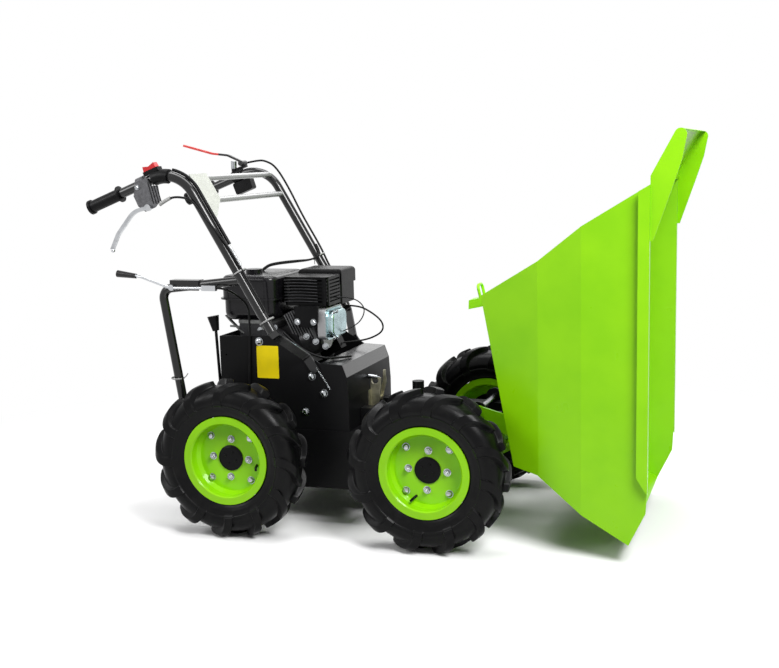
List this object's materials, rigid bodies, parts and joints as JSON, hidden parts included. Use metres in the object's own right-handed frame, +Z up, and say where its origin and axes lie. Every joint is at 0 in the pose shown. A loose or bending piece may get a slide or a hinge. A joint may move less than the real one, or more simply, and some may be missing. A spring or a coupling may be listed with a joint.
{
  "type": "site dumper",
  "caption": "Walk-behind four-wheel site dumper with a petrol engine, cleated tyres, upright handlebars and a folded sheet skip tipped forwards.",
  "frame": {"origin": "ground point below the middle of the machine's bounding box, on the mid-plane between the wheels", "axes": "+X forwards, towards the end where the skip tips; +Y to the operator's left; +Z up"},
  "size_m": [1.5686, 0.752, 1.02],
  "materials": {
    "black_paint": "satin",
    "black_plastic": "satin",
    "bright_metal": "satin",
    "cast_aluminium": "rough",
    "green_paint": "gloss",
    "grey_paint": "satin",
    "label": "satin",
    "red_paint": "gloss",
    "red_plastic": "satin",
    "rubber": "matt",
    "rubber_trim": "matt",
    "zinc": "satin"
  },
  "bodies": {
    "chassis": {"air_filter": "black_plastic", "bed_stop": "rubber_trim", "carburettor": "cast_aluminium", "clutch_bracket": "bright_metal", "clutch_cable": "rubber_trim", "clutch_lever": "bright_metal", "cylinder": "cast_aluminium", "engine_block": "cast_aluminium", "engine_cables": "rubber_trim", "engine_floor": "black_paint", "fan_cowl": "black_paint", "front_axle_drive": "black_paint", "front_box": "black_paint", "front_cover": "black_paint", "fuel_tank": "black_paint", "gear_lever": "black_paint", "handle_plate": "label", "handlebar_crossbars": "grey_paint", "handlebar_grips": "rubber_trim", "handlebar_tubes": "black_paint", "hinge_pin": "zinc", "latch_pawl": "zinc", "lower_box": "black_paint", "muffler": "black_paint", "muffler_guard": "black_paint", "rear_axle_drive": "black_paint", "rear_panel": "black_paint", "rear_tube": "black_paint", "recoil_starter": "black_plastic", "release_cable": "rubber_trim", "release_lever": "bright_metal", "rocker_cover": "bright_metal", "side_plate_left": "black_paint", "side_plate_right": "black_paint", "skip_latch": "zinc", "skip_rails": "black_paint", "stop_switch": "red_plastic", "switch_housing": "rubber_trim", "tank_saddle": "bright_metal", "throttle_block": "rubber_trim", "throttle_cable": "rubber_trim", "throttle_lever": "red_paint"},
    "skip": {"skip_bearer": "green_paint", "skip_guard": "green_paint", "skip_lugs": "green_paint", "skip_rim": "green_paint", "skip_shell": "green_paint", "skip_striker": "green_paint"},
    "wheel_rear_right": {"hub_rear_right": "black_paint", "rim_rear_right": "green_paint", "tyre_rear_right": "rubber"},
    "wheel_rear_left": {"hub_rear_left": "black_paint", "rim_rear_left": "green_paint", "tyre_rear_left": "rubber"},
    "wheel_front_right": {"hub_front_right": "black_paint", "rim_front_right": "green_paint", "tyre_front_right": "rubber"},
    "wheel_front_left": {"hub_front_left": "black_paint", "rim_front_left": "green_paint", "tyre_front_left": "rubber"}
  },
  "joints": [
    {"name": "wheel_rear_right_spin", "type": "hinge", "parent": "chassis", "child": "wheel_rear_right", "pos_m": [-0.362, -0.321, 0.206], "axis": [0, 1, 0], "continuous": true},
    {"name": "wheel_rear_left_spin", "type": "hinge", "parent": "chassis", "child": "wheel_rear_left", "pos_m": [-0.362, 0.321, 0.206], "axis": [0, 1, 0], "continuous": true},
    {"name": "wheel_front_right_spin", "type": "hinge", "parent": "chassis", "child": "wheel_front_right", "pos_m": [0.171, -0.321, 0.206], "axis": [0, 1, 0], "continuous": true},
    {"name": "wheel_front_left_spin", "type": "hinge", "parent": "chassis", "child": "wheel_front_left", "pos_m": [0.171, 0.321, 0.206], "axis": [0, 1, 0], "continuous": true},
    {"name": "skip_tip", "type": "hinge", "parent": "chassis", "child": "skip", "pos_m": [0.239, 0, 0.31], "axis": [0, 1, 0], "range_deg": [-78, 0]}
  ]
}
